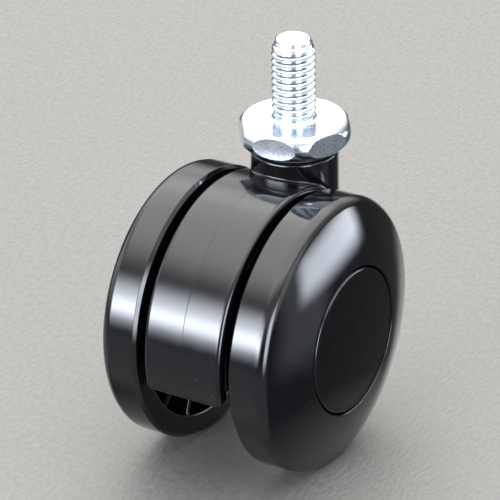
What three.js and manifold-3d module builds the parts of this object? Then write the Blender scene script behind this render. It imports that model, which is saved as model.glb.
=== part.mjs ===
// Hooded twin-wheel chair caster on a threaded stem.
// Millimetres. +Z is up, the origin is on the floor below the middle of the axle, the axle lies along Y,
// and the stem stands ahead of the axle at +X, so the hood trails towards -X.

import * as THREE from 'three';
import { mergeVertices } from 'three/addons/utils/BufferGeometryUtils.js';
import Module from 'manifold-3d';

const wasm = await Module();
wasm.setup();

// ---- Driving dimensions ----
const wheelDiameter = 50;
const wheelRadius = wheelDiameter / 2;
const axleHeight = wheelRadius;
const bodyWidth = 15.7; // hood and neck are the same width
const hoodRadius = wheelRadius - 0.1;
const sideGap = 1.55; // hood side to the wheel's inner face
const swivelOffset = 13.7; // axle to stem axis
const axleRadius = 3;
const runningGap = 0.08; // radial clearance of a shaft in its bush

const stemMajorRadius = 3.9; // M8 x 1.25
const stemMinorRadius = 3.15;
const stemBlankRadius = 3.6; // the plain length under the thread, at the thread's pitch radius
const stemRootFillet = 0.7; // where the stem meets the collar's top face
const plainLength = 1.1; // collar's top face to the thread's start
const threadPitch = 1.25;
const shoulderHeight = 58; // floor to the collar's top face
const stemTop = shoulderHeight + 15.3;
const collarThickness = 4.55;
const collarAcrossFlats = 19;
const collarRimRadius = 10.3; // the collar's widest, at half its thickness
const collarFaceRadius = 9.12; // its flat end faces, just inside the six flats
const shankRadius = 5;

// ---- Sizes that follow ----
const halfBody = bodyWidth / 2;
const wheelInner = halfBody + sideGap; // distance of the wheel's inner face from the middle plane
const treadEnd = wheelInner + 5.3; // where the flat tread turns into the dome
const capSeatRadius = 13.5;
const capSeatFace = wheelInner + 10.67; // height of the dome at the cap's seat
const capSeatFloor = capSeatFace - 2.87;
const wheelBushRadius = 4.4;
const collarBottom = shoulderHeight - collarThickness;
const neckTop = collarBottom - 1.2;
const socketBottom = axleHeight + 7.4;

const roundSegments = 48;
const smallSegments = 24;

// ---- Materials ----
function material(color, roughness, metalness) {
  return new THREE.MeshStandardMaterial({ color, roughness, metalness });
}

const glossBlackPlastic = material(0x17181a, 0.12, 0);
const zincPlate = material(0xcfd6dc, 0.25, 1);
const steel = material(0x9b9ea1, 0.35, 1);
const acetal = material(0x2a2a2b, 0.5, 0);
const bushPlastic = material(0xd9d4c6, 0.5, 0);

// ---- Solids ----
function point(x, y) {
  return new THREE.Vector2(x, y);
}

// a closed geometry as a solid: shared corners welded, collapsed triangles dropped
function solid(geometry) {
  geometry.deleteAttribute('normal');
  geometry.deleteAttribute('uv');
  const welded = mergeVertices(geometry, 1e-4);
  const corners = welded.index.array;
  const kept = [];
  for (let i = 0; i < corners.length; i += 3) {
    const [a, b, c] = corners.slice(i, i + 3);
    if (a !== b && b !== c && c !== a) kept.push(a, b, c);
  }
  return new wasm.Manifold(new wasm.Mesh({
    numProp: 3,
    vertProperties: Float32Array.from(welded.attributes.position.array),
    triVerts: Uint32Array.from(kept),
  }));
}

function named(name, body, finish) {
  const { vertProperties, triVerts } = body.getMesh();
  const geometry = new THREE.BufferGeometry();
  geometry.setAttribute('position', new THREE.BufferAttribute(vertProperties, 3));
  geometry.setIndex(new THREE.BufferAttribute(triVerts, 1));
  const flat = geometry.toNonIndexed();
  flat.computeVertexNormals();
  const mesh = new THREE.Mesh(flat, finish);
  mesh.name = name;
  return mesh;
}

// a profile of (radius, height) points turned about Y; it closes on itself or on the axis
function turned(profile, segments = roundSegments) {
  const anticlockwise = THREE.ShapeUtils.area(profile) > 0;
  const outline = anticlockwise ? [...profile] : [...profile].reverse();
  const onAxis = outline[0].x === 0 && outline[outline.length - 1].x === 0;
  if (!onAxis) outline.push(outline[0].clone());
  return solid(new THREE.LatheGeometry(outline, segments));
}

// the same about Z, for the pieces on the stem
function turnedUpright(profile, segments = smallSegments) {
  return turned(profile, segments).rotate([90, 0, 0]);
}

function ringProfile(inner, outer, low, high) {
  return [point(inner, low), point(outer, low), point(outer, high), point(inner, high)];
}

// points on an arc, angles in degrees from the first axis
function arc(cx, cy, radius, from, to, steps) {
  const points = [];
  for (let i = 0; i <= steps; i += 1) {
    const angle = THREE.MathUtils.degToRad(from + ((to - from) * i) / steps);
    points.push(point(cx + radius * Math.cos(angle), cy + radius * Math.sin(angle)));
  }
  return points;
}

// an outline in the X-Z plane made into a plate centred on Y = 0
function plate(outline, thickness) {
  const shape = new THREE.Shape(outline);
  const geometry = new THREE.ExtrudeGeometry(shape, { depth: thickness, bevelEnabled: false });
  geometry.translate(0, 0, -thickness / 2);
  geometry.rotateX(Math.PI / 2);
  return solid(geometry);
}

// ---- Wheel: rim, dome, hub and radial ribs in one moulding ----
const edgeChamfer = 0.6;
const treadFillet = 2.4;
const domeStartSlope = 24; // degrees, where the fillet hands over to the dome
const rimInnerRadius = 20.9;
const wheelHubRadius = 7.2;
const ribCount = 15;
const ribThickness = 1.1;
const ribRecess = 0.8; // rib edges behind the wheel's inner face
const ribTurn = 9; // where the first rib stands, in degrees round the wheel

// the dome is one arc that leaves the fillet at domeStartSlope and ends at the cap's seat
function domeProfile() {
  const fillet = arc(wheelRadius - treadFillet, treadEnd, treadFillet, 0, 90 - domeStartSlope, 4);
  const start = fillet[fillet.length - 1];
  const end = point(capSeatRadius, capSeatFace);
  const chord = start.distanceTo(end);
  const chordSlope = THREE.MathUtils.radToDeg(Math.atan2(end.y - start.y, start.x - end.x));
  const halfTurn = domeStartSlope - chordSlope;
  const radius = chord / 2 / Math.sin(THREE.MathUtils.degToRad(halfTurn));
  const startAngle = 90 - domeStartSlope;
  const radians = THREE.MathUtils.degToRad(startAngle);
  const cx = start.x - radius * Math.cos(radians);
  const cy = start.y - radius * Math.sin(radians);
  return [...fillet, ...arc(cx, cy, radius, startAngle, startAngle + 2 * halfTurn, 4).slice(1)];
}

function wheelSolid() {
  const webInner = capSeatFloor - 1.9;
  const profile = [
    point(wheelBushRadius, wheelInner),
    point(wheelHubRadius, wheelInner),
    point(wheelHubRadius, webInner),
    point(capSeatRadius + 0.7, webInner),
    point(capSeatRadius + 2.1, webInner + 1.9),
    point(rimInnerRadius - 0.9, webInner + 0.7),
    point(rimInnerRadius, webInner - 0.1),
    point(rimInnerRadius, wheelInner),
    point(wheelRadius - edgeChamfer, wheelInner),
    point(wheelRadius, wheelInner + edgeChamfer),
    ...domeProfile(),
    point(capSeatRadius, capSeatFloor),
    point(wheelBushRadius, capSeatFloor),
  ];
  let wheel = turned(profile);
  const ribOutline = [
    point(wheelHubRadius - 0.4, wheelInner + ribRecess),
    point(rimInnerRadius + 0.5, wheelInner + ribRecess),
    point(rimInnerRadius + 0.5, webInner - 0.6),
    point(rimInnerRadius - 1, webInner + 1.6),
    point(capSeatRadius + 2.1, webInner + 2.7),
    point(capSeatRadius + 0.4, webInner + 0.9),
    point(wheelHubRadius - 0.4, webInner + 0.9),
  ];
  const shape = new THREE.Shape(ribOutline);
  const ribGeometry = new THREE.ExtrudeGeometry(shape, { depth: ribThickness, bevelEnabled: false });
  ribGeometry.translate(0, 0, -ribThickness / 2);
  const rib = solid(ribGeometry);
  for (let i = 0; i < ribCount; i += 1) {
    wheel = wheel.add(rib.rotate([0, ribTurn + (360 * i) / ribCount, 0]));
  }
  return wheel;
}

// ---- Hub cap: a shallow domed disc with a skirt that snaps into the seat ----
const capGroove = 0.35; // between the cap's edge and the seat
const capEdge = 0.5; // rounding of the cap's edge
const capRise = 0.75; // the cap's middle above its edge
const capWall = 1.3;
const skirtWall = 1.6;

function hubCapSolid() {
  const radius = capSeatRadius - capGroove;
  const skirtEnd = capSeatFloor + 0.3;
  const flatRadius = radius - capEdge;
  const domeRadius = (flatRadius ** 2 + capRise ** 2) / (2 * capRise);
  const domeCentre = capSeatFace + capRise - domeRadius;
  const edgeAngle = THREE.MathUtils.radToDeg(Math.acos(flatRadius / domeRadius));
  const middle = capSeatFace + capRise;
  const profile = [
    point(0, middle - capWall),
    point(radius - skirtWall, capSeatFace - capWall),
    point(radius - skirtWall, skirtEnd),
    point(radius - 0.1, skirtEnd),
    point(radius, capSeatFace - capEdge),
    ...arc(0, domeCentre, domeRadius, edgeAngle, 90, 4).slice(0, -1),
    point(0, middle),
  ];
  return turned(profile);
}

// ---- Small pieces on the axle ----
const lockThickness = 0.5;
const lockRadius = 5.6;
const lockConeRadius = 3.9; // the flat rim turns into the cone here
const lockConeRise = 0.35;
const lockSlots = 6;
const lockSlotWidth = 0.6;
const pinHoleGap = 0.04;
const spacerRadius = 6;

// a sprung steel star lock: a shallow cone slit from the hole outwards
function axleLockSolid() {
  const low = capSeatFloor + 0.3;
  const cone = turned([
    point(axleRadius + pinHoleGap, low + lockConeRise),
    point(lockConeRadius, low),
    point(lockRadius, low),
    point(lockRadius, low + lockThickness),
    point(lockConeRadius + 0.2, low + lockThickness),
    point(axleRadius + pinHoleGap, low + lockConeRise + lockThickness),
  ], smallSegments);
  let lock = cone;
  for (let i = 0; i < lockSlots; i += 1) {
    const slot = new THREE.BoxGeometry(1.8, 4, lockSlotWidth);
    slot.translate(3.6, low, 0);
    lock = lock.subtract(solid(slot).rotate([0, (360 * i) / lockSlots, 0]));
  }
  return lock;
}

function axlePinSolid() {
  const end = capSeatFloor + 1.5;
  const chamfer = 0.5;
  return turned([
    point(0, -end),
    point(axleRadius - chamfer, -end),
    point(axleRadius, -end + chamfer),
    point(axleRadius, end - chamfer),
    point(axleRadius - chamfer, end),
    point(0, end),
  ], smallSegments);
}

function wheelBushSolid() {
  return turned(
    ringProfile(axleRadius + runningGap, wheelBushRadius - 0.05, wheelInner - 0.1, capSeatFloor),
    smallSegments,
  );
}

function spacerWasherSolid() {
  const gap = 0.35; // to the hood and to the wheel
  return turned(
    ringProfile(axleRadius + 0.1, spacerRadius, halfBody + gap, wheelInner - gap),
    smallSegments,
  );
}

// ---- Hood: cover, neck, stem socket, axle boss, middle web and cross ribs in one moulding ----
const hoodWall = 2.4;
const hoodChamfer = 0.6;
const hoodTrailingEdge = 194; // degrees round the axle, measured from +X over the top
const hoodFrontEdge = 0;
const bossRadius = 6;
const webThickness = 2.6;
const crossRibAngles = [118, 152, 186];
const crossRibThickness = 1.8;
const crossRibInset = 0.8; // from the hood's sides
const neckChamfer = 0.5;
const socketBoreRadius = 6.2;
const neckRadius = halfBody;

function hoodSolid() {
  const inner = hoodRadius - hoodWall;
  const ring = turned([
    point(inner, -halfBody),
    point(hoodRadius - hoodChamfer, -halfBody),
    point(hoodRadius, -halfBody + hoodChamfer),
    point(hoodRadius, halfBody - hoodChamfer),
    point(hoodRadius - hoodChamfer, halfBody),
    point(inner, halfBody),
  ], 2 * roundSegments);
  const sector = plate(
    [point(0, 0), ...arc(0, 0, 2 * wheelRadius, hoodFrontEdge, hoodTrailingEdge, 12)],
    2 * bodyWidth,
  );
  const cover = ring.intersect(sector);

  const webRadius = inner + 0.8;
  const web = plate([
    ...arc(0, 0, webRadius, 48, hoodTrailingEdge, 20),
    point(-1, -bossRadius + 0.4),
    point(bossRadius - 0.5, 2),
    point(swivelOffset - neckRadius + 0.45, socketBottom - axleHeight + 2.1),
  ], webThickness);
  const boss = turned(
    [point(0, -halfBody), point(bossRadius, -halfBody), point(bossRadius, halfBody), point(0, halfBody)],
    smallSegments,
  );
  let body = cover.add(web).add(boss);

  const ribLength = webRadius - bossRadius + 1;
  for (const angle of crossRibAngles) {
    const rib = new THREE.BoxGeometry(ribLength, bodyWidth - 2 * crossRibInset, crossRibThickness);
    rib.translate(bossRadius - 1 + ribLength / 2, 0, 0);
    body = body.add(solid(rib).rotate([0, -angle, 0]));
  }

  const low = socketBottom - axleHeight;
  const high = neckTop - axleHeight;
  const neck = turnedUpright([
    point(0, low),
    point(neckRadius, low),
    point(neckRadius, high - neckChamfer),
    point(neckRadius - neckChamfer, high),
    point(0, high),
  ], roundSegments).translate([swivelOffset, 0, 0]);
  const stemBore = turnedUpright([
    point(0, low - 1),
    point(socketBoreRadius, low - 1),
    point(socketBoreRadius, high + 1),
    point(0, high + 1),
  ]).translate([swivelOffset, 0, 0]);
  const axleBore = turned([
    point(0, -bodyWidth),
    point(axleRadius + 0.02, -bodyWidth),
    point(axleRadius + 0.02, bodyWidth),
    point(0, bodyWidth),
  ], smallSegments);
  return body.add(neck).subtract(stemBore).subtract(axleBore);
}

// ---- Stem: thread, hex collar and shank in one piece; heights are above the floor ----
const clipGrooveLow = socketBottom - 2.2;
const clipGrooveHigh = clipGrooveLow + 0.9;
const clipGrooveRadius = 4.2;
const stemBottom = clipGrooveLow - 1.6;
const shankChamfer = 0.8;
const collarTurn = 9; // where one of the hexagon's corners points, in degrees round the stem
const threadSteps = 20;

// a helical thread as one closed strip: four rows a pitch (crest, crest, root, root), capped at both ends
function threadSolid(low, high) {
  const steps = threadSteps;
  const rows = [
    [0, stemMajorRadius],
    [0.13, stemMajorRadius],
    [0.484, stemMinorRadius],
    [0.646, stemMinorRadius],
  ];
  const turns = Math.ceil((high - low) / threadPitch) + 1;
  const lastRow = turns * rows.length;
  const positions = [];
  const indices = [];
  const width = steps + 1;
  for (let row = 0; row <= lastRow; row += 1) {
    const [fraction, radius] = rows[row % rows.length];
    const turn = Math.floor(row / rows.length);
    for (let step = 0; step <= steps; step += 1) {
      const angle = (2 * Math.PI * step) / steps;
      const z = low - threadPitch + threadPitch * (turn + fraction + step / steps);
      positions.push(radius * Math.cos(angle), radius * Math.sin(angle), z);
    }
  }
  for (let row = 0; row < lastRow; row += 1) {
    for (let step = 0; step < steps; step += 1) {
      const a = row * width + step;
      indices.push(a, a + 1, a + width + 1, a, a + width + 1, a + width);
    }
  }
  const bottom = positions.length / 3;
  positions.push(0, 0, low - threadPitch / 2);
  const top = bottom + 1;
  positions.push(0, 0, low - threadPitch + threadPitch * (turns + 0.5));
  for (let step = 0; step < steps; step += 1) {
    const above = lastRow * width + step;
    indices.push(step + 1, step, bottom);
    indices.push(above, above + 1, top);
  }
  for (let row = 0; row < rows.length; row += 1) {
    const start = row * width;
    const end = (lastRow - row) * width + steps;
    indices.push(start, start + width, bottom);
    indices.push(end, end - width, top);
  }
  const geometry = new THREE.BufferGeometry();
  geometry.setAttribute('position', new THREE.Float32BufferAttribute(positions, 3));
  geometry.setIndex(indices);
  return solid(geometry);
}

// a disc with a rounded rim; the six flats cut the rim only, so each is a lens between the two faces
function collarSolid() {
  const apothem = collarAcrossFlats / 2;
  const halfThickness = collarThickness / 2;
  const bulge = collarRimRadius - collarFaceRadius;
  const rimCurve = (bulge ** 2 + halfThickness ** 2) / (2 * bulge);
  const turn = THREE.MathUtils.radToDeg(Math.asin(halfThickness / rimCurve));
  const middle = collarBottom + halfThickness;
  const blank = turnedUpright([
    point(0, collarBottom),
    ...arc(collarRimRadius - rimCurve, middle, rimCurve, -turn, turn, 6),
    point(0, shoulderHeight),
  ], roundSegments);
  const cornerRadius = apothem / Math.cos(Math.PI / 6);
  const hexagon = new THREE.CylinderGeometry(cornerRadius, cornerRadius, 2 * collarThickness, 6);
  hexagon.rotateX(Math.PI / 2);
  hexagon.rotateZ(THREE.MathUtils.degToRad(collarTurn));
  hexagon.translate(0, 0, shoulderHeight - collarThickness / 2);
  return blank.intersect(solid(hexagon));
}

function stemSolid() {
  const trimMargin = 0.3;
  const tip = [
    point(2.7, stemTop),
    point(3.3, stemTop - 0.4),
    point(3.7, stemTop - 1.4),
    point(stemMajorRadius + trimMargin, stemTop - 3.4),
  ];
  const threadLow = shoulderHeight + plainLength;
  const insideThread = stemMinorRadius - 0.25; // keeps the core's surface clear of the thread's root
  // wider than the thread below the tip, so that it only trims the thread's two ends
  const envelope = turnedUpright([
    point(0, threadLow),
    point(stemMajorRadius + trimMargin, threadLow),
    ...[...tip].reverse(),
    point(0, stemTop),
  ], threadSteps);
  const thread = threadSolid(threadLow, stemTop).intersect(envelope);
  const core = turnedUpright([
    point(0, stemBottom),
    point(shankRadius - shankChamfer, stemBottom),
    point(shankRadius, stemBottom + shankChamfer),
    point(shankRadius, clipGrooveLow),
    point(clipGrooveRadius, clipGrooveLow),
    point(clipGrooveRadius, clipGrooveHigh),
    point(shankRadius, clipGrooveHigh),
    point(shankRadius, collarBottom + 0.5),
    point(stemBlankRadius + stemRootFillet, collarBottom + 0.5),
    point(stemBlankRadius + stemRootFillet, shoulderHeight),
    point(stemBlankRadius, shoulderHeight + stemRootFillet),
    point(stemBlankRadius, threadLow + 0.2),
    point(insideThread, threadLow + 0.2),
    point(insideThread, stemTop - 3),
    point(3.45, stemTop - 1.9),
    point(3.4, stemTop - 1.2),
    point(2.6, stemTop - 0.2),
    point(0, stemTop - 0.2),
  ]);
  return core.add(collarSolid()).add(thread);
}

// a flanged sleeve pressed into the neck
function stemBushSolid() {
  const flangeTop = neckTop + 0.6;
  return turnedUpright([
    point(shankRadius + runningGap, socketBottom + 0.6),
    point(socketBoreRadius - 0.05, socketBottom + 0.6),
    point(socketBoreRadius - 0.05, neckTop + 0.1),
    point(neckRadius - 0.55, neckTop + 0.1),
    point(neckRadius - 0.55, flangeTop),
    point(shankRadius + runningGap, flangeTop),
  ]);
}

function thrustWasherSolid() {
  return turnedUpright(
    ringProfile(shankRadius + 0.1, neckRadius - 0.55, neckTop + 0.65, collarBottom - 0.1),
  );
}

function lowerWasherSolid() {
  return turnedUpright(ringProfile(shankRadius + 0.1, 7.2, clipGrooveHigh + 0.1, socketBottom - 0.3));
}

// a C-shaped spring ring in the shank's groove
function retainingClipSolid() {
  const ring = turnedUpright(
    ringProfile(clipGrooveRadius + 0.08, 6.4, clipGrooveLow + 0.1, clipGrooveHigh - 0.1),
  );
  const mouth = new THREE.BoxGeometry(8, 5, 3);
  mouth.translate(-6, 0, clipGrooveLow + 0.4);
  return ring.subtract(solid(mouth));
}

// ---- Assembly ----
const caster = new THREE.Group();
caster.name = 'chair_caster';

const onAxle = new THREE.Group();
onAxle.position.set(0, 0, axleHeight);
onAxle.add(named('hood_body', hoodSolid(), glossBlackPlastic));
onAxle.add(named('axle_pin', axlePinSolid(), steel));
caster.add(onAxle);

const wheelPieces = [
  ['wheel', wheelSolid(), glossBlackPlastic],
  ['hub_cap', hubCapSolid(), glossBlackPlastic],
  ['wheel_bush', wheelBushSolid(), bushPlastic],
  ['spacer_washer', spacerWasherSolid(), acetal],
  ['axle_lock', axleLockSolid(), steel],
];
// the wheel is made at +Y, the left side; the right one is the same moulding turned half round
for (const [side, halfTurn] of [['left', 0], ['right', Math.PI]]) {
  const group = new THREE.Group();
  group.rotation.z = halfTurn;
  for (const [piece, body, finish] of wheelPieces) {
    group.add(named(`${side}_${piece}`, body, finish));
  }
  onAxle.add(group);
}

const onStem = new THREE.Group();
onStem.position.set(swivelOffset, 0, 0);
onStem.add(named('threaded_stem', stemSolid(), zincPlate));
onStem.add(named('stem_thrust_washer', thrustWasherSolid(), steel));
onStem.add(named('stem_bush', stemBushSolid(), acetal));
onStem.add(named('stem_lower_washer', lowerWasherSolid(), steel));
onStem.add(named('stem_retaining_clip', retainingClipSolid(), steel));
caster.add(onStem);

export default caster;
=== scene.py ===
import math

import bmesh
import bpy
from mathutils import Matrix, Vector


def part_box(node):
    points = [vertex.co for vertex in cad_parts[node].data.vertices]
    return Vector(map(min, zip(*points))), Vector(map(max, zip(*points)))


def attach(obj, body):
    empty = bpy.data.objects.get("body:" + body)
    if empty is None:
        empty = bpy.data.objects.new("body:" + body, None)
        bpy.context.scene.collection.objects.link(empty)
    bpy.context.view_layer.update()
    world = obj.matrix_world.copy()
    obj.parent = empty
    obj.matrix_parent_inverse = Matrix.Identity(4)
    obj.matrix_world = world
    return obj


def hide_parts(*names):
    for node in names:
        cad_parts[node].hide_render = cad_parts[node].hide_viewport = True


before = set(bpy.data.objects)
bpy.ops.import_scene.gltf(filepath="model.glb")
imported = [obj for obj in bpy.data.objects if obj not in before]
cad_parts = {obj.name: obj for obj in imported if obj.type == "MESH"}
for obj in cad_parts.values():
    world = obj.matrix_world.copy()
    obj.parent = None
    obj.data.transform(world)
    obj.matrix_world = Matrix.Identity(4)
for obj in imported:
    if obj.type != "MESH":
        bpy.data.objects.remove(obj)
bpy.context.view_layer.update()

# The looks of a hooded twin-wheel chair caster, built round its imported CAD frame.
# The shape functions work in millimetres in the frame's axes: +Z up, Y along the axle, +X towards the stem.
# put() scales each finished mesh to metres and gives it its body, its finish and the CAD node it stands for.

MM = 0.001

# ---- Sizes taken from the CAD nodes ----


def cad_box(node):
    low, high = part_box(node)
    return low / MM, high / MM


wheel_low, wheel_high = cad_box("left_wheel")
cap_low, cap_high = cad_box("left_hub_cap")
hood_low, hood_high = cad_box("hood_body")
stem_low, stem_high = cad_box("threaded_stem")
pin_low, pin_high = cad_box("axle_pin")
thrust_low, thrust_high = cad_box("stem_thrust_washer")
lower_low, lower_high = cad_box("stem_lower_washer")
clip_low, clip_high = cad_box("stem_retaining_clip")
stem_bush_low, stem_bush_high = cad_box("stem_bush")
wheel_bush_low, wheel_bush_high = cad_box("left_wheel_bush")
spacer_low, spacer_high = cad_box("left_spacer_washer")
lock_low, lock_high = cad_box("left_axle_lock")

WHEEL_RADIUS = (wheel_high.z - wheel_low.z) / 2
AXLE_HEIGHT = (wheel_high.z + wheel_low.z) / 2
WHEEL_INNER = wheel_low.y
SEAT_FACE = wheel_high.y
CAP_RADIUS = (cap_high.x - cap_low.x) / 2
CAP_TOP = cap_high.y
HALF_BODY = hood_high.y
HOOD_RADIUS = -hood_low.x
PIN_RADIUS = (pin_high.x - pin_low.x) / 2
STEM_X = (stem_low.x + stem_high.x) / 2
STEM_TOP = stem_high.z
STEM_BOTTOM = stem_low.z
NECK_TOP = hood_high.z
SOCKET_BOTTOM = lower_high.z + 0.3

# ---- Outlines and solids ----

ARC_STEP = math.radians(15)  # the largest turn between two points of a fillet
SMALL_SEGMENTS = 64  # round the axle's small pieces
ROUND_SEGMENTS = 96  # round the stem's pieces and the hood's boss and bores
WIDE_SEGMENTS = 192  # round the wheels, the caps and the collar


def arc(cx, cy, radius, start, end, steps):
    """Points on an arc; start and end are in degrees."""
    points = []
    for k in range(steps + 1):
        angle = math.radians(start + (end - start) * k / steps)
        points.append((cx + radius * math.cos(angle), cy + radius * math.sin(angle)))
    return points


def rounded(corners):
    """A closed outline from (across, along, fillet radius) corners, each fillet an arc."""
    outline = []
    for i, (x, y, radius) in enumerate(corners):
        corner = Vector((x, y))
        if radius == 0:
            outline.append((x, y))
            continue
        before = (Vector(corners[i - 1][:2]) - corner).normalized()
        after = (Vector(corners[(i + 1) % len(corners)][:2]) - corner).normalized()
        half = before.angle(after) / 2
        centre = corner + (before + after).normalized() * (radius / math.sin(half))
        spoke = corner + before * (radius / math.tan(half)) - centre
        first = math.atan2(spoke.y, spoke.x)
        turn = math.pi - 2 * half
        if before.x * after.y - before.y * after.x > 0:
            turn = -turn
        steps = max(2, math.ceil(abs(turn) / ARC_STEP))
        for k in range(steps + 1):
            angle = first + turn * k / steps
            outline.append((centre.x + radius * math.cos(angle), centre.y + radius * math.sin(angle)))
    return outline


def ring_outline(inner, outer, low, high, rim=0.12):
    return rounded([(inner, low, rim), (outer, low, rim), (outer, high, rim), (inner, high, rim)])


def about_axle(radius, height, angle):
    return Vector((radius * math.cos(angle), height, radius * math.sin(angle)))


def about_stem(radius, height, angle):
    return Vector((radius * math.cos(angle), radius * math.sin(angle), height))


def outward(body):
    bmesh.ops.recalc_face_normals(body, faces=body.faces)
    return body


def turned(outline, segments, place=about_axle):
    """A closed outline of (radius, height) points turned about the axle or the stem."""
    body = bmesh.new()
    rings = []
    for radius, height in outline:
        if radius < 1e-6:
            rings.append([body.verts.new(place(0, height, 0))])
            continue
        angles = [2 * math.pi * k / segments for k in range(segments)]
        rings.append([body.verts.new(place(radius, height, angle)) for angle in angles])
    for ring, following in zip(rings, rings[1:] + rings[:1]):
        if len(ring) == 1 and len(following) == 1:
            continue
        for k in range(segments):
            corners = [ring[k % len(ring)], ring[(k + 1) % segments % len(ring)]]
            corners += [following[(k + 1) % segments % len(following)], following[k % len(following)]]
            body.faces.new(list(dict.fromkeys(corners)))
    return outward(body)


def prism(outline, thickness, place, rim=0.0):
    """A flat outline of (u, v) points given a thickness along w, its edges rounded by rim."""
    body = bmesh.new()
    near = [body.verts.new(place(u, v, -thickness / 2)) for u, v in outline]
    far = [body.verts.new(place(u, v, thickness / 2)) for u, v in outline]
    body.faces.new(near)
    body.faces.new(far[::-1])
    for k in range(len(outline)):
        following = (k + 1) % len(outline)
        body.faces.new([near[k], near[following], far[following], far[k]])
    outward(body)
    if rim:
        sharp = [edge for edge in body.edges if edge.calc_face_angle(0) > math.radians(30)]
        bmesh.ops.bevel(body, geom=sharp, offset=rim, segments=3, profile=0.5, affect="EDGES")
    return body


def mesh_object(name, body):
    mesh = bpy.data.meshes.new(name)
    body.to_mesh(mesh)
    body.free()
    piece = bpy.data.objects.new(name, mesh)
    bpy.context.scene.collection.objects.link(piece)
    return piece


WELD = 0.001  # points closer than this are made one, which clears the slivers that a boolean leaves


def combined(operation, base, *others):
    """base with the other bodies joined to it (UNION) or cut from it (DIFFERENCE, INTERSECT)."""
    target = mesh_object("target", base)
    tools = []
    for other in others:
        tool = mesh_object("tool", other)
        modifier = target.modifiers.new("combine", "BOOLEAN")
        modifier.operation = operation
        modifier.solver = "MANIFOLD"
        modifier.object = tool
        tools.append(tool)
    graph = bpy.context.evaluated_depsgraph_get()
    graph.update()
    result = bmesh.new()
    result.from_object(target, graph)
    bmesh.ops.remove_doubles(result, verts=result.verts, dist=WELD)
    for leftover in [target, *tools]:
        mesh = leftover.data
        bpy.data.objects.remove(leftover)
        bpy.data.meshes.remove(mesh)
    return result


def moved(body, *matrices):
    for matrix in matrices:
        body.transform(matrix)
    return body


def repeated(make, count, axis, first=0.0):
    """One body holding count copies of make(), spaced evenly round an axis."""
    body = bmesh.new()
    for k in range(count):
        angle = first + 360 * k / count
        copy = moved(make(), Matrix.Rotation(math.radians(angle), 4, axis))
        mesh = bpy.data.meshes.new("copy")
        copy.to_mesh(mesh)
        copy.free()
        body.from_mesh(mesh)
        bpy.data.meshes.remove(mesh)
    return body


# ---- Wheel ----

EDGE_CHAMFER = 0.6
TREAD_END = WHEEL_INNER + 5.3
TREAD_FILLET = 2.4
TREAD_FILLET_STEPS = 12
DOME_STEPS = 16
DOME_START_SLOPE = 24  # degrees, where the fillet hands over to the dome
CAP_SEAT_RADIUS = CAP_RADIUS + 0.35
SEAT_FLOOR = SEAT_FACE - 2.87
WHEEL_BUSH_RADIUS = (wheel_bush_high.x - wheel_bush_low.x) / 2 + 0.05
WHEEL_HUB_RADIUS = 7.2
RIM_INNER_RADIUS = 20.9
RIB_COUNT = 15
RIB_THICKNESS = 1.1
RIB_RECESS = 0.8
RIB_TURN = -9  # degrees


def dome_points():
    """The tread's end fillet and the dome's one arc, which ends at the cap's seat."""
    start_angle = 90 - DOME_START_SLOPE
    fillet = arc(WHEEL_RADIUS - TREAD_FILLET, TREAD_END, TREAD_FILLET, 0, start_angle, TREAD_FILLET_STEPS)
    start = Vector(fillet[-1])
    end = Vector((CAP_SEAT_RADIUS, SEAT_FACE))
    chord_slope = math.degrees(math.atan2(end.y - start.y, start.x - end.x))
    half_turn = DOME_START_SLOPE - chord_slope
    radius = (start - end).length / 2 / math.sin(math.radians(half_turn))
    spoke = math.radians(start_angle)
    centre = start - radius * Vector((math.cos(spoke), math.sin(spoke)))
    end_angle = start_angle + 2 * half_turn
    return fillet + arc(centre.x, centre.y, radius, start_angle, end_angle, DOME_STEPS)[1:-1]


def wheel_body():
    web = SEAT_FLOOR - 1.9
    corners = [
        (WHEEL_BUSH_RADIUS, WHEEL_INNER, 0.15),
        (WHEEL_HUB_RADIUS, WHEEL_INNER, 0.25),
        (WHEEL_HUB_RADIUS, web, 0.8),
        (CAP_SEAT_RADIUS + 0.7, web, 0.5),
        (CAP_SEAT_RADIUS + 2.1, web + 1.9, 0.5),
        (RIM_INNER_RADIUS - 0.9, web + 0.7, 0.4),
        (RIM_INNER_RADIUS, web - 0.1, 0.4),
        (RIM_INNER_RADIUS, WHEEL_INNER, 0.25),
        (WHEEL_RADIUS - EDGE_CHAMFER, WHEEL_INNER, 0.2),
        (WHEEL_RADIUS, WHEEL_INNER + EDGE_CHAMFER, 0.2),
        *[(x, y, 0) for x, y in dome_points()],
        (CAP_SEAT_RADIUS, SEAT_FACE, 0.2),
        (CAP_SEAT_RADIUS, SEAT_FLOOR, 0.3),
        (WHEEL_BUSH_RADIUS, SEAT_FLOOR, 0.15),
    ]
    rib_outline = [
        (WHEEL_HUB_RADIUS - 0.4, WHEEL_INNER + RIB_RECESS),
        (RIM_INNER_RADIUS + 0.5, WHEEL_INNER + RIB_RECESS),
        (RIM_INNER_RADIUS + 0.5, web - 0.6),
        (RIM_INNER_RADIUS - 1, web + 1.6),
        (CAP_SEAT_RADIUS + 2.1, web + 2.7),
        (CAP_SEAT_RADIUS + 0.4, web + 0.9),
        (WHEEL_HUB_RADIUS - 0.4, web + 0.9),
    ]

    def rib():
        return prism(rib_outline, RIB_THICKNESS, lambda u, v, w: Vector((u, v, w)), rim=0.25)

    ribs = repeated(rib, RIB_COUNT, "Y", RIB_TURN)
    return combined("UNION", turned(rounded(corners), WIDE_SEGMENTS), ribs)


# ---- Hub cap ----

CAP_EDGE = 0.5
CAP_WALL = 1.3
CAP_SKIRT = 1.6  # the wall of the skirt that snaps into the wheel
SKIRT_RIM = 0.15


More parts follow.
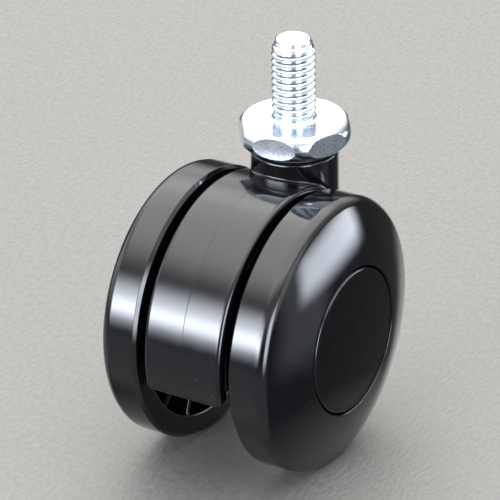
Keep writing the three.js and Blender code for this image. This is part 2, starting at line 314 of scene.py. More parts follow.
def hub_cap_body():
    rise = CAP_TOP - SEAT_FACE
    flat_radius = CAP_RADIUS - CAP_EDGE
    dome_radius = (flat_radius**2 + rise**2) / (2 * rise)
    edge_angle = math.degrees(math.acos(flat_radius / dome_radius))
    skirt_end = SEAT_FLOOR + 0.3
    dome = arc(0, CAP_TOP - dome_radius, dome_radius, edge_angle, 90, DOME_STEPS)[:-1]
    corners = [
        (0, CAP_TOP - CAP_WALL, 0),
        (CAP_RADIUS - CAP_SKIRT, SEAT_FACE - CAP_WALL, 0.3),
        (CAP_RADIUS - CAP_SKIRT, skirt_end, SKIRT_RIM),
        (CAP_RADIUS, skirt_end, SKIRT_RIM),
        (CAP_RADIUS, SEAT_FACE + 0.04, 0.4),
        *[(x, y, 0) for x, y in dome],
        (0, CAP_TOP, 0),
    ]
    return turned(rounded(corners), WIDE_SEGMENTS)


# ---- Small pieces on the axle ----

PIN_CHAMFER = 0.5
LOCK_FLAT_RADIUS = 3.9  # the star lock's flat rim turns into its cone here
LOCK_RISE = 0.35
LOCK_THICKNESS = 0.5
LOCK_SLOTS = 6
LOCK_SLOT_START = 2.7  # inside the hole
LOCK_SLOT_END = 4.5
LOCK_SLOT_HALF_WIDTH = 0.3


def axle_pin_body():
    end = pin_high.y
    corners = [
        (0, -end, 0),
        (PIN_RADIUS, -end, PIN_CHAMFER),
        (PIN_RADIUS, end, PIN_CHAMFER),
        (0, end, 0),
    ]
    return turned(rounded(corners), SMALL_SEGMENTS)


def wheel_bush_body():
    inner = PIN_RADIUS + 0.08
    outline = ring_outline(inner, WHEEL_BUSH_RADIUS - 0.05, wheel_bush_low.y, wheel_bush_high.y)
    return turned(outline, SMALL_SEGMENTS)


def spacer_washer_body():
    outer = (spacer_high.x - spacer_low.x) / 2
    outline = ring_outline(PIN_RADIUS + 0.1, outer, spacer_low.y, spacer_high.y)
    return turned(outline, SMALL_SEGMENTS)


def axle_lock_body():
    """A sprung star lock: a shallow steel cone slit from the hole outwards."""
    outer = (lock_high.x - lock_low.x) / 2
    bore = PIN_RADIUS + 0.04
    low = lock_low.y
    corners = [
        (bore, low + LOCK_RISE, 0.05),
        (LOCK_FLAT_RADIUS, low, 0.2),
        (outer, low, 0.12),
        (outer, low + LOCK_THICKNESS, 0.12),
        (LOCK_FLAT_RADIUS + 0.2, low + LOCK_THICKNESS, 0.2),
        (bore, low + LOCK_RISE + LOCK_THICKNESS, 0.05),
    ]
    half = LOCK_SLOT_HALF_WIDTH
    slot_corners = [
        (LOCK_SLOT_START, -half, 0),
        (LOCK_SLOT_END, -half, 0.25),
        (LOCK_SLOT_END, half, 0.25),
        (LOCK_SLOT_START, half, 0),
    ]
    slot_outline = rounded(slot_corners)
    through = 4  # deeper than the lock is thick

    def slot():
        return prism(slot_outline, through, lambda u, v, w: Vector((u, low + w, v)))

    blank = turned(rounded(corners), ROUND_SEGMENTS)
    return combined("DIFFERENCE", blank, repeated(slot, LOCK_SLOTS, "Y"))


# ---- Hood ----

HOOD_WALL = 2.4
HOOD_EDGE = 1.0  # fillet along the cover's outer edges
HOOD_CORNER = 1.5  # the cover's corners, seen flattened out
HOOD_FRONT_EDGE = 0  # degrees round the axle
HOOD_TRAILING_EDGE = 194
PARTING_DEPTH = 0.05
PARTING_HALF_WIDTH = 0.11
NECK_RADIUS = HALF_BODY
NECK_FILLET = 0.32
NECK_RIM = 0.5  # round the neck's top edge
BOSS_RADIUS = 6
WEB_THICKNESS = 2.6
WALL_OVERLAP = 0.8  # how far the web and the ribs run into the cover's wall
SOCKET_BORE_RADIUS = 6.2
CROSS_RIB_ANGLES = [118, 152, 186]
CROSS_RIB_THICKNESS = 1.8
CROSS_RIB_INSET = 0.8  # from the hood's sides
AXLE_BORE_RADIUS = PIN_RADIUS + 0.02


def cover_loop(inset, columns):
    """The cover's outline inset by some distance, as (along the arc, across) points in the +Y half."""
    half_length = math.radians(HOOD_TRAILING_EDGE - HOOD_FRONT_EDGE) * HOOD_RADIUS / 2
    corner = HOOD_CORNER - inset
    straight = half_length - HOOD_CORNER
    side = HALF_BODY - HOOD_CORNER
    start = [(-straight - x, side + y) for x, y in arc(0, 0, corner, 0, 90, 8)]
    middle = [(-straight + 2 * straight * k / columns, side + corner) for k in range(1, columns)]
    end = [(straight + x, side + y) for x, y in arc(0, 0, corner, 90, 0, 8)]
    return start + middle + end


def cover_body():
    """A curved plate with rounded corners, made of outline loops from its inside face to its outside."""
    mid_angle = math.radians(HOOD_TRAILING_EDGE + HOOD_FRONT_EDGE) / 2
    columns = 190  # along the arc
    inner_rim = 0.35  # fillet along the inside edges
    levels = [(inner_rim - x, HOOD_WALL - inner_rim + y) for x, y in arc(0, 0, inner_rim, 90, 0, 4)]
    levels += [(HOOD_EDGE - x, HOOD_EDGE - y) for x, y in arc(0, 0, HOOD_EDGE, 0, 90, 8)]
    body = bmesh.new()

    def vertex(along, across, depth):
        return body.verts.new(about_axle(HOOD_RADIUS - depth, across, mid_angle + along / HOOD_RADIUS))

    loops = []
    for inset, depth in levels:
        half = cover_loop(inset, columns)
        near = [vertex(along, across, depth) for along, across in half]
        far = [vertex(along, -across, depth) for along, across in half]
        loops.append(near + far[::-1])
    count = len(loops[0])
    for loop, following in zip(loops, loops[1:]):
        for k in range(count):
            k1 = (k + 1) % count
            body.faces.new([loop[k], loop[k1], following[k1], following[k]])
    inside, outside = loops[0], loops[-1]
    for k in range(count // 2 - 1):
        body.faces.new([inside[k], inside[k + 1], inside[count - 2 - k], inside[count - 1 - k]])
    parting = [-PARTING_HALF_WIDTH, 0, PARTING_HALF_WIDTH]
    rungs = []
    for k, (along, across) in enumerate(cover_loop(HOOD_EDGE, columns)):
        crossing = [vertex(along, y, 0 if y else PARTING_DEPTH) for y in parting]
        rungs.append([outside[count - 1 - k], *crossing, outside[k]])
    for rung, following in zip(rungs, rungs[1:]):
        for k in range(len(rung) - 1):
            body.faces.new([rung[k], rung[k + 1], following[k + 1], following[k]])
    for rung in (rungs[0], rungs[-1]):
        body.faces.new(rung)
    return outward(body)


def neck_body():
    """The neck with a rolling-ball fillet where it meets the cover; z is above the axle."""
    segments = 144
    top = NECK_TOP - AXLE_HEIGHT
    low = SOCKET_BOTTOM - AXLE_HEIGHT
    fillet_steps = 5
    body = bmesh.new()
    columns = []
    for k in range(segments):
        angle = 2 * math.pi * k / segments
        out = Vector((math.cos(angle), math.sin(angle), 0))
        centre = Vector((STEM_X, 0, 0)) + out * (NECK_RADIUS + NECK_FILLET)
        beyond = max(0.0, abs(centre.y) - (HALF_BODY - HOOD_EDGE))
        reach = math.sqrt(max(0.0, (HOOD_EDGE + NECK_FILLET) ** 2 - beyond**2))
        radius = HOOD_RADIUS - HOOD_EDGE + reach
        centre.z = math.sqrt(radius**2 - centre.x**2)
        lift = Vector((centre.x, 0, centre.z)) / radius
        across = Vector((0, math.copysign(beyond, centre.y), 0))
        normal = (lift * reach + across).normalized()
        column = [Vector((STEM_X, 0, low)) + out * (NECK_RADIUS - 0.6)]
        column.append(centre - out * NECK_FILLET - out * 0.6 - normal * 1.5)
        column.append(centre - normal * (NECK_FILLET + 0.25))
        for step in range(fillet_steps + 1):
            spoke = (-normal).lerp(-out, step / fillet_steps).normalized()
            column.append(centre + spoke * NECK_FILLET)
        for x, z in arc(NECK_RADIUS - NECK_RIM, top - NECK_RIM, NECK_RIM, 0, 90, fillet_steps):
            column.append(Vector((STEM_X, 0, z)) + out * x)
        columns.append([body.verts.new(co) for co in column])
    for column, following in zip(columns, columns[1:] + columns[:1]):
        for k in range(len(column) - 1):
            body.faces.new([column[k], column[k + 1], following[k + 1], following[k]])
    body.faces.new([column[0] for column in columns])
    body.faces.new([column[-1] for column in columns])
    return outward(body)


def web_body():
    inner = HOOD_RADIUS - HOOD_WALL
    socket_low = SOCKET_BOTTOM - AXLE_HEIGHT
    outline = arc(0, 0, inner + WALL_OVERLAP, 48, HOOD_TRAILING_EDGE - 1.5, 40)
    outline += [(-1, -BOSS_RADIUS + 0.4), (BOSS_RADIUS - 0.5, 2)]
    outline += [(STEM_X - NECK_RADIUS + 0.45, socket_low + 2.1)]
    return prism(outline, WEB_THICKNESS, lambda u, v, w: Vector((u, w, v)), rim=0.2)


def hood_body():
    inner = HOOD_RADIUS - HOOD_WALL
    boss_rim = 0.3
    boss_corners = [
        (0, -HALF_BODY, 0),
        (BOSS_RADIUS, -HALF_BODY, boss_rim),
        (BOSS_RADIUS, HALF_BODY, boss_rim),
        (0, HALF_BODY, 0),
    ]
    boss = turned(rounded(boss_corners), ROUND_SEGMENTS)
    pieces = [neck_body(), web_body(), boss]
    start = BOSS_RADIUS - 1
    length = inner + WALL_OVERLAP - start
    half_width = HALF_BODY - CROSS_RIB_INSET
    rib_outline = [(start, -half_width), (start + length, -half_width)]
    rib_outline += [(start + length, half_width), (start, half_width)]
    for angle in CROSS_RIB_ANGLES:
        rib = prism(rib_outline, CROSS_RIB_THICKNESS, lambda u, v, w: Vector((u, v, w)), rim=0.25)
        pieces.append(moved(rib, Matrix.Rotation(math.radians(-angle), 4, "Y")))
    neck_x = Matrix.Translation((STEM_X, 0, 0))
    low = SOCKET_BOTTOM - AXLE_HEIGHT - 1
    high = NECK_TOP - AXLE_HEIGHT + 1
    stem_outline = [(0, low), (SOCKET_BORE_RADIUS, low), (SOCKET_BORE_RADIUS, high), (0, high)]
    stem_bore = turned(stem_outline, ROUND_SEGMENTS, about_stem)
    reach = 20  # well past the hood's sides
    axle_outline = [(0, -reach), (AXLE_BORE_RADIUS, -reach), (AXLE_BORE_RADIUS, reach), (0, reach)]
    axle_bore = turned(axle_outline, SMALL_SEGMENTS)
    joined = combined("UNION", cover_body(), *pieces)
    return combined("DIFFERENCE", joined, moved(stem_bore, neck_x), axle_bore)


# ---- Stem ----

COLLAR_TOP = 58.0
COLLAR_THICKNESS = 4.55
COLLAR_ACROSS_FLATS = 19.0
COLLAR_RIM_RADIUS = 10.3
COLLAR_FACE_RADIUS = 9.12
COLLAR_TURN = 9  # degrees
THREAD_MAJOR = 3.9
THREAD_MINOR = 3.2
THREAD_BLANK = 3.6
ROOT_FILLET = 0.7  # where the stem meets the collar's top face
THREAD_PITCH = 1.25
THREAD_LOW = COLLAR_TOP + 1.1
SHANK_RADIUS = 5.0
CLIP_GROOVE_RADIUS = 4.2
CLIP_GROOVE_GAP = 0.1  # between the clip and each side of its groove
CLIP_MOUTH_HALF_WIDTH = 2.5
THREAD_ROWS = 14  # mesh rows in one pitch
THREAD_ROOT_START = 0.94  # where the root begins, as a share of the way from the crest's middle
THREAD_FLANK = 0.78  # the flank's share of that way
THREAD_EASING = 0.45  # how much of the flank's shape is a smooth curve; the rest is straight
THREAD_RUN_IN = 0.5  # the height over which the thread grows out of the plain length
TIP_RADIUS = 3.2  # where the tip's round edge ends and the first thread starts to grow
TIP_ROUND = 0.5
TIP_SLOPE = 0.42


def thread_radius(share):
    """The thread's radius across one pitch: a narrow root, eased flanks and a flat crest."""
    depth = THREAD_MAJOR - THREAD_MINOR
    slope = abs(2 * share - 1)  # 1 at the root, 0 at the middle of the crest
    lift = min(1.0, max(0.0, (THREAD_ROOT_START - slope) / THREAD_FLANK))
    eased = lift * lift * (3 - 2 * lift)
    return THREAD_MINOR + depth * (THREAD_EASING * eased + (1 - THREAD_EASING) * lift)


def tip_radius(z):
    """The rounded end of the thread."""
    below = STEM_TOP - z
    if below < TIP_ROUND:
        share = math.sqrt(max(0.0, 1 - (1 - below / TIP_ROUND) ** 2))
        return TIP_RADIUS - TIP_ROUND + TIP_ROUND * share
    return TIP_RADIUS + (below - TIP_ROUND) * TIP_SLOPE


def stem_core_points():
    """The profile below the thread, from the shank's end up to the thread's start."""
    groove_low = clip_low.z - CLIP_GROOVE_GAP
    groove_high = clip_high.z + CLIP_GROOVE_GAP
    fillet_centre = THREAD_BLANK + ROOT_FILLET
    root_fillet = arc(fillet_centre, COLLAR_TOP + ROOT_FILLET, ROOT_FILLET, 270, 180, 6)
    return rounded([
        (0, STEM_BOTTOM, 0),
        (SHANK_RADIUS, STEM_BOTTOM, 0.8),
        (SHANK_RADIUS, groove_low, 0.08),
        (CLIP_GROOVE_RADIUS, groove_low, 0.08),
        (CLIP_GROOVE_RADIUS, groove_high, 0.08),
        (SHANK_RADIUS, groove_high, 0.08),
        (SHANK_RADIUS, COLLAR_TOP - 1, 0),
        (fillet_centre, COLLAR_TOP - 1, 0),
        *[(x, y, 0) for x, y in root_fillet],
    ])


def threaded_body():
    """Shank and thread in one mesh: the thread's rows climb one pitch a turn and stop at both ends."""
    body = bmesh.new()
    rings = []
    for radius, height in stem_core_points():
        spokes = range(ROUND_SEGMENTS) if radius else [0]
        angles = [2 * math.pi * k / ROUND_SEGMENTS for k in spokes]
        rings.append([body.verts.new(about_stem(radius, height, angle)) for angle in angles])
    for ring, following in zip(rings, rings[1:]):
        for k in range(ROUND_SEGMENTS):
            k1 = (k + 1) % ROUND_SEGMENTS
            corners = [ring[k % len(ring)], ring[k1 % len(ring)], following[k1], following[k]]
            body.faces.new(list(dict.fromkeys(corners)))
    start = THREAD_LOW - 2 * THREAD_PITCH
    turns = math.ceil((STEM_TOP - start) / THREAD_PITCH) + 1
    grid = {}

    def vertex(row, step):
        if step == ROUND_SEGMENTS:
            row, step = row + THREAD_ROWS, 0
        if (row, step) not in grid:
            height = start + THREAD_PITCH * (row / THREAD_ROWS + step / ROUND_SEGMENTS)
            fade = min(1.0, max(0.0, (height - THREAD_LOW) / THREAD_RUN_IN))
            height = min(STEM_TOP, max(THREAD_LOW, height))
            radius = THREAD_BLANK + (thread_radius(row / THREAD_ROWS % 1) - THREAD_BLANK) * fade
            radius = min(radius, tip_radius(height))
            angle = 2 * math.pi * step / ROUND_SEGMENTS
            grid[row, step] = body.verts.new(about_stem(radius, height, angle))
        return grid[row, step]

    for row in range(turns * THREAD_ROWS):
        for step in range(ROUND_SEGMENTS):
            corners = [vertex(row, step), vertex(row, step + 1)]
            corners += [vertex(row + 1, step + 1), vertex(row + 1, step)]
            body.faces.new(corners)
    bmesh.ops.remove_doubles(body, verts=body.verts, dist=0.004)
    bmesh.ops.dissolve_degenerate(body, edges=body.edges, dist=0.002)
    ends = [edge for edge in body.edges if edge.is_boundary]
    low_end = [edge for edge in ends if edge.verts[0].co.z < STEM_TOP - 1]
    top_end = [edge for edge in ends if edge.verts[0].co.z > STEM_TOP - 1]
    bmesh.ops.bridge_loops(body, edges=low_end)
    bmesh.ops.contextual_create(body, geom=top_end)
    return outward(body)


def collar_body():
    """A disc with a rounded rim; six flats cut the rim only, so each is a lens between the two faces."""
    half = COLLAR_THICKNESS / 2
    middle = COLLAR_TOP - half
    bulge = COLLAR_RIM_RADIUS - COLLAR_FACE_RADIUS
    curve = (bulge**2 + half**2) / (2 * bulge)
    turn = math.degrees(math.asin(half / curve))
    rim = arc(COLLAR_RIM_RADIUS - curve, middle, curve, -turn, turn, 24)
    corners = [(0, COLLAR_TOP - COLLAR_THICKNESS, 0), (*rim[0], 0.3)]
    corners += [(x, y, 0) for x, y in rim[2:-2]]
    corners += [(*rim[-1], 0.3), (0, COLLAR_TOP, 0)]
    blank = turned(rounded(corners), WIDE_SEGMENTS, about_stem)
    corner_radius = COLLAR_ACROSS_FLATS / 2 / math.cos(math.pi / 6)
    hexagon = arc(0, 0, corner_radius, COLLAR_TURN + 30, COLLAR_TURN + 330, 5)
    block = prism(hexagon, 2 * COLLAR_THICKNESS, lambda u, v, w: Vector((u, v, middle + w)))
    return combined("INTERSECT", blank, block)


def stem_body():
    return combined("UNION", collar_body(), threaded_body())


def stem_bush_body():
    flange = (stem_bush_high.x - stem_bush_low.x) / 2
    bore = SHANK_RADIUS + 0.08
    sleeve = SOCKET_BORE_RADIUS - 0.05
    top = stem_bush_high.z
    shelf = NECK_TOP + 0.1
    return turned(
        rounded([
            (bore, stem_bush_low.z, 0.15),
            (sleeve, stem_bush_low.z, 0.15),
            (sleeve, shelf, 0),
            (flange, shelf, 0.1),
            (flange, top, 0.1),
            (bore, top, 0.15),
        ]),
        ROUND_SEGMENTS,
        about_stem,
    )


def flat_ring_body(low, high, inner):
    outer = (high.x - low.x) / 2
    return turned(ring_outline(inner, outer, low.z, high.z, 0.1), ROUND_SEGMENTS, about_stem)


def retaining_clip_body():
    inner = CLIP_GROOVE_RADIUS + 0.08
    outer = (clip_high.y - clip_low.y) / 2
    outline = ring_outline(inner, outer, clip_low.z, clip_high.z)
    ring = turned(outline, ROUND_SEGMENTS, about_stem)
    middle = (clip_low.z + clip_high.z) / 2
    half = CLIP_MOUTH_HALF_WIDTH
    mouth_outline = [(-10, -half), (-2, -half), (-2, half), (-10, half)]
    mouth = prism(mouth_outline, 3, lambda u, v, w: Vector((u, v, middle + w)))
    return combined("DIFFERENCE", ring, mouth)


# ---- Materials ----


def node(tree, kind, inputs=(), **settings):
    """A shader node; inputs pairs each socket's name or number with a value or another node's output."""
    made = tree.nodes.new(kind)
    for key, value in settings.items():
        setattr(made, key, value)
    for socket, value in dict(inputs).items():
        if isinstance(value, bpy.types.NodeSocket):
            tree.links.new(value, made.inputs[socket])
        else:
            made.inputs[socket].default_value = value
    return made


def math_node(tree, operation, a, b=0.0):
    return node(tree, "ShaderNodeMath", {0: a, 1: b}, operation=operation).outputs[0]


def spread(tree, value, low, high, from_low=0.3, from_high=0.7):
    """value's middle range stretched to low..high."""
    ranges = {"Value": value, "From Min": from_low, "From Max": from_high, "To Min": low, "To Max": high}
    return node(tree, "ShaderNodeMapRange", ranges).outputs[0]


def new_material(name):
    """A material with its Principled shader, and the piece's own coordinates in millimetres."""
    made = bpy.data.materials.new(name)
    made.use_nodes = True
    tree = made.node_tree
    shader = tree.nodes["Principled BSDF"]
    place = node(tree, "ShaderNodeTexCoord").outputs["Object"]
    to_millimetres = {0: place, "Scale": 1 / MM}
    millimetres = node(tree, "ShaderNodeVectorMath", to_millimetres, operation="SCALE").outputs[0]
    return made, tree, shader, millimetres


def noise(tree, place, scale, detail=2.0, stretch=(1, 1, 1)):
    scaled = node(tree, "ShaderNodeVectorMath", {0: place, 1: stretch}, operation="MULTIPLY").outputs[0]
    settings = {"Vector": scaled, "Scale": scale, "Detail": detail}
    return node(tree, "ShaderNodeTexNoise", settings).outputs[0]


def set_bump(tree, shader, height, distance, strength=1.0):
    """distance is in millimetres."""
    settings = {"Height": height, "Distance": distance * MM, "Strength": strength}
    bump = node(tree, "ShaderNodeBump", settings)
    tree.links.new(bump.outputs[0], shader.inputs["Normal"])


def mixed(tree, share, a, b):
    return node(tree, "ShaderNodeMix", {0: share, 6: a, 7: b}, data_type="RGBA").outputs[2]


def gloss_plastic(name, color, roughness):
    """Mirror-gloss moulded nylon: a faint ripple, fine handling marks, and a few specks of dust."""
    made, tree, shader, place = new_material(name)
    speck_size = 0.022
    dust = (0.16, 0.16, 0.17, 1)
    ripple = noise(tree, place, 0.22, 1.0)
    haze = noise(tree, place, 0.4, 4.0)
    shade = spread(tree, haze, 0.8, 1.25)
    tint = node(tree, "ShaderNodeVectorMath", {0: color, "Scale": shade}, operation="SCALE").outputs[0]
    specks = node(tree, "ShaderNodeTexVoronoi", {"Vector": place, "Scale": 0.42, "Randomness": 1.0})
    speck = math_node(tree, "LESS_THAN", specks.outputs["Distance"], speck_size)
    dusty = mixed(tree, speck, tint, dust)
    tree.links.new(dusty, shader.inputs["Base Color"])
    rough = spread(tree, haze, roughness * 0.75, roughness * 1.3)
    rough = math_node(tree, "ADD", rough, math_node(tree, "MULTIPLY", speck, 0.5))
    tree.links.new(rough, shader.inputs["Roughness"])
    shader.inputs["IOR"].default_value = 1.5
    set_bump(tree, shader, ripple, 0.02, 0.35)
    return made


def plain_plastic(name, color, roughness):
    """Moulded acetal: slightly cloudy, with the fine grain of a machined mould."""
    made, tree, shader, place = new_material(name)
    cloud = noise(tree, place, 0.5, 3.0)
    shade = spread(tree, cloud, 0.88, 1.1)
    tint = node(tree, "ShaderNodeVectorMath", {0: color, "Scale": shade}, operation="SCALE").outputs[0]
    tree.links.new(tint, shader.inputs["Base Color"])
    tree.links.new(spread(tree, cloud, roughness * 0.85, roughness * 1.15), shader.inputs["Roughness"])
    set_bump(tree, shader, noise(tree, place, 6.0, 3.0), 0.01, 0.5)
    return made


def radial_distance(tree, place, centre_x):
    """Distance from the stem's axis, in millimetres."""
    to_axis = {0: place, 1: (-centre_x, 0, 0)}
    shifted = node(tree, "ShaderNodeVectorMath", to_axis, operation="ADD").outputs[0]
    flatten = {0: shifted, 1: (1, 1, 0)}
    flat = node(tree, "ShaderNodeVectorMath", flatten, operation="MULTIPLY").outputs[0]
    return node(tree, "ShaderNodeVectorMath", {0: flat}, operation="LENGTH").outputs["Value"]


def zinc_plate(name):
    """Bright blue-white zinc over turned steel: crystalline speckle, faint turning rings, cloudy sheen."""
    made, tree, shader, place = new_material(name)
    cloud = noise(tree, place, 0.35, 3.0)
    tint = mixed(tree, spread(tree, cloud, 0, 1), (0.54, 0.60, 0.68, 1), (0.70, 0.74, 0.79, 1))
    speckle = noise(tree, place, 3.2, 3.0)
    spangle = mixed(tree, spread(tree, speckle, 0, 0.7, 0.5, 0.72), tint, (0.26, 0.33, 0.43, 1))
    tree.links.new(spangle, shader.inputs["Base Color"])
    shader.inputs["Metallic"].default_value = 1
    tree.links.new(spread(tree, cloud, 0.16, 0.24), shader.inputs["Roughness"])
    ring_rate = 26  # turning marks, about four to the millimetre
    marks = math_node(tree, "MULTIPLY", radial_distance(tree, place, STEM_X), ring_rate)
    rings = math_node(tree, "SINE", marks)
    height = math_node(tree, "ADD", speckle, math_node(tree, "MULTIPLY", rings, 0.08))
    set_bump(tree, shader, height, 0.02, 0.6)
    return made


def plain_steel(name, color, roughness, grain=(1, 1, 1)):
    """Stamped or turned steel with a drawn grain and slightly darker patches."""
    made, tree, shader, place = new_material(name)
    patch = noise(tree, place, 0.4, 4.0)
    shade = spread(tree, patch, 0.7, 1.15)
    tint = node(tree, "ShaderNodeVectorMath", {0: color, "Scale": shade}, operation="SCALE").outputs[0]
    tree.links.new(tint, shader.inputs["Base Color"])
    shader.inputs["Metallic"].default_value = 1
    tree.links.new(spread(tree, patch, roughness * 0.8, roughness * 1.25), shader.inputs["Roughness"])
    set_bump(tree, shader, noise(tree, place, 4.0, 3.0, grain), 0.015, 0.5)
    return made


hood_plastic = gloss_plastic("hood_plastic", (0.0016, 0.0017, 0.0024), 0.10)
wheel_plastic = gloss_plastic("wheel_plastic", (0.0016, 0.0017, 0.0024), 0.07)
cap_plastic = gloss_plastic("cap_plastic", (0.0014, 0.0015, 0.0020), 0.06)
bush_plastic = plain_plastic("bush_plastic", (0.69, 0.66, 0.56), 0.42)
washer_plastic = plain_plastic("washer_plastic", (0.023, 0.023, 0.024), 0.4)
zinc = zinc_plate("zinc_plated_steel")
axle_steel = plain_steel("axle_steel", (0.45, 0.46, 0.48), 0.28, (1, 8, 1))
washer_steel = plain_steel("washer_steel", (0.5, 0.51, 0.53), 0.32)
spring_steel = plain_steel("spring_steel", (0.2, 0.2, 0.21), 0.4)

# ---- Pieces on their bodies ----

SMOOTH_ANGLE = math.radians(40)


def put(node_name, body, riding, finish, matrix):
    """Makes the finished piece that stands for a CAD node, in metres and at its place in the frame."""
    moved(body, matrix, Matrix.Scale(MM, 4))
    outward(body)
    piece = mesh_object(f"{node_name}_shape", body)
    piece.data.shade_smooth()
    piece.data.set_sharp_from_angle(angle=SMOOTH_ANGLE)
    piece.data.materials.append(finish)
    weighting = piece.modifiers.new("weighting", "WEIGHTED_NORMAL")
    weighting.keep_sharp = True
    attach(piece, riding)
    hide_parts(node_name)


on_axle = Matrix.Translation((0, 0, AXLE_HEIGHT))
on_stem = Matrix.Translation((STEM_X, 0, 0))

put("hood_body", hood_body(), "housing", hood_plastic, on_axle)
put("axle_pin", axle_pin_body(), "housing", axle_steel, on_axle)
for side, turn in [("left", 0), ("right", math.pi)]:
    here = on_axle @ Matrix.Rotation(turn, 4, "Z")
    wheel_unit = f"{side}_wheel_unit"
    put(f"{side}_wheel", wheel_body(), wheel_unit, wheel_plastic, here)
    put(f"{side}_hub_cap", hub_cap_body(), wheel_unit, cap_plastic, here)
    put(f"{side}_wheel_bush", wheel_bush_body(), wheel_unit, bush_plastic, here)
    put(f"{side}_spacer_washer", spacer_washer_body(), "housing", washer_plastic, here)
    put(f"{side}_axle_lock", axle_lock_body(), "housing", spring_steel, here)
put("threaded_stem", stem_body(), "stem", zinc, on_stem)
put("stem_bush", stem_bush_body(), "housing", washer_plastic, on_stem)
thrust = flat_ring_body(thrust_low, thrust_high, SHANK_RADIUS + 0.1)
put("stem_thrust_washer", thrust, "stem", washer_steel, on_stem)
lower = flat_ring_body(lower_low, lower_high, SHANK_RADIUS + 0.1)
put("stem_lower_washer", lower, "stem", washer_steel, on_stem)
put("stem_retaining_clip", retaining_clip_body(), "stem", spring_steel, on_stem)

# ---- Studio ----

FLOOR_SEEN_NEAR = 18  # mm from the origin; nearer than this the pieces mirror the board itself
FLOOR_SEEN_FAR = 42  # beyond this only the camera sees it


def floor_material():
    """A pale satin board with a fine grain; past FLOOR_SEEN_FAR the pieces mirror the studio instead."""
    made, tree, shader, place = new_material("floor_board")
    grain = noise(tree, place, 1.5, 5.0, (0.4, 1, 1))
    tree.links.new(spread(tree, grain, 0.54, 0.64), shader.inputs["Roughness"])
    tint = mixed(tree, spread(tree, grain, 0, 1), (0.150, 0.147, 0.139, 1), (0.194, 0.190, 0.180, 1))
    tree.links.new(tint, shader.inputs["Base Color"])
    shader.inputs["Metallic"].default_value = 0.6
    set_bump(tree, shader, grain, 0.14, 1.0)
    away = node(tree, "ShaderNodeVectorMath", {0: place}, operation="LENGTH").outputs["Value"]
    far = spread(tree, away, 0, 1, FLOOR_SEEN_NEAR, FLOOR_SEEN_FAR)
    seen = node(tree, "ShaderNodeLightPath").outputs["Is Camera Ray"]
    hidden = math_node(tree, "MULTIPLY", far, math_node(tree, "SUBTRACT", 1.0, seen))
    clear = node(tree, "ShaderNodeBsdfTransparent").outputs[0]
    shown = node(tree, "ShaderNodeMixShader", {0: hidden, 1: shader.outputs[0], 2: clear}).outputs[0]
    tree.links.new(shown, tree.nodes["Material Output"].inputs["Surface"])
    return made


def floor():
    body = bmesh.new()
    metres = 4.0  # far past the edges of every view
    bmesh.ops.create_grid(body, x_segments=1, y_segments=1, size=metres)
    board = mesh_object("floor", body)
    board.data.materials.append(floor_material())


def direction(azimuth, elevation):
    a, e = math.radians(azimuth), math.radians(elevation)
    return Vector((math.cos(a) * math.cos(e), math.sin(a) * math.cos(e), math.sin(e)))


def panel(tree, ray, azimuth, elevation, half_width, half_height, edge, strength, color=(1, 1, 1)):
    """A soft-edged studio panel seen in one direction of the world; sizes are in degrees."""
    ahead = direction(azimuth, elevation)
    side = Vector((-math.sin(math.radians(azimuth)), math.cos(math.radians(azimuth)), 0))
    above = ahead.cross(side)

    def along(axis):
        dot = node(tree, "ShaderNodeVectorMath", {0: ray, 1: axis}, operation="DOT_PRODUCT")
        return dot.outputs["Value"]

    def coverage(axis, half_size):
        angle = math_node(tree, "ARCTAN2", math_node(tree, "ABSOLUTE", along(axis)), along(ahead))
        ranges = {"Value": angle, "To Min": 1.0, "To Max": 0.0}
        ranges["From Min"] = math.radians(half_size - edge / 2)
        ranges["From Max"] = math.radians(half_size + edge / 2)
        return node(tree, "ShaderNodeMapRange", ranges, interpolation_type="SMOOTHSTEP").outputs[0]

    share = math_node(tree, "MULTIPLY", coverage(side, half_width), coverage(above, half_height))
    power = math_node(tree, "MULTIPLY", share, strength)
    return node(tree, "ShaderNodeVectorMath", {0: color, "Scale": power}, operation="SCALE").outputs[0]


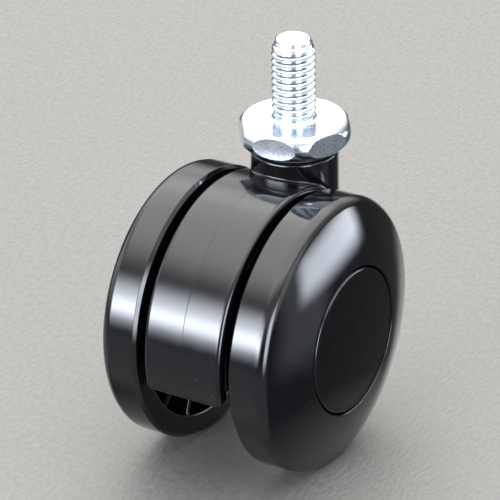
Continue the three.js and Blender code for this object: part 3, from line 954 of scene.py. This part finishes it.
def studio():
    """The light all round: the room's own glow, brighter with height, and soft panels added to it."""
    world = bpy.data.worlds.new("studio")
    world.use_nodes = True
    bpy.context.scene.world = world
    tree = world.node_tree
    background = tree.nodes["Background"]
    ray = node(tree, "ShaderNodeTexCoord").outputs["Generated"]
    height = node(tree, "ShaderNodeSeparateXYZ", {0: ray}).outputs["Z"]
    room = spread(tree, height, 0.10, 1.0, 0.08, 0.4)
    light = node(tree, "ShaderNodeCombineXYZ", {0: room, 1: room, 2: room}).outputs[0]
    cool = (0.84, 0.90, 1.0)
    panels = [
        panel(tree, ray, 20, 84, 44, 44, 24, 3.4),  # overhead
        panel(tree, ray, 34, 30, 40, 14, 20, 1.2),  # backdrop
        panel(tree, ray, 164, 12, 26, 12, 22, 17, cool),  # key
        panel(tree, ray, 164, 8, 20, 5, 12, 13, cool),  # the lamp behind the key's diffuser
        panel(tree, ray, 105, 16, 20, 20, 16, 1.4),  # far left of the room
        panel(tree, ray, -165, -42, 60, 30, 24, 0.4),  # board in front
        panel(tree, ray, 65, -32, 58, 18, 14, 0.5),  # board behind
        panel(tree, ray, -119, 4, 12, 16, 16, 14, cool),  # strip beside the camera
        panel(tree, ray, -84, 18, 16, 18, 14, 1.4),  # far right of the room
        panel(tree, ray, -48, -2, 17, 6, 8, 11, cool),  # low window on the right
        panel(tree, ray, -64, -12, 12, 12, 12, 0.7, cool),  # its glow on the board
    ]
    for each in panels:
        light = node(tree, "ShaderNodeVectorMath", {0: light, 1: each}, operation="ADD").outputs[0]
    seen = node(tree, "ShaderNodeLightPath").outputs["Is Camera Ray"]
    shown = mixed(tree, seen, light, (0.55, 0.545, 0.53, 1))
    tree.links.new(shown, background.inputs["Color"])


def camera():
    """A long lens at the photograph's viewing angle; distances are in metres."""
    distance = 0.6464
    data = bpy.data.cameras.new("camera")
    data.sensor_width = 36
    data.lens = 262.2
    made = bpy.data.objects.new("camera", data)
    bpy.context.scene.collection.objects.link(made)
    azimuth, elevation, roll = math.radians(-57.6), math.radians(26.4), math.radians(-1.13)
    back = Vector((
        math.sin(azimuth) * math.cos(elevation),
        -math.cos(azimuth) * math.cos(elevation),
        math.sin(elevation),
    ))
    target = Vector((0.0038, 0.0035, 0.0352))
    made.location = target + back * distance
    made.rotation_mode = "QUATERNION"
    facing = (-back).to_track_quat("-Z", "Y")
    made.rotation_quaternion = facing @ Matrix.Rotation(roll, 3, "Z").to_quaternion()
    data.clip_start = 0.01
    bpy.context.scene.camera = made


floor()
studio()
camera()
bpy.context.scene.view_settings.view_transform = "Standard"
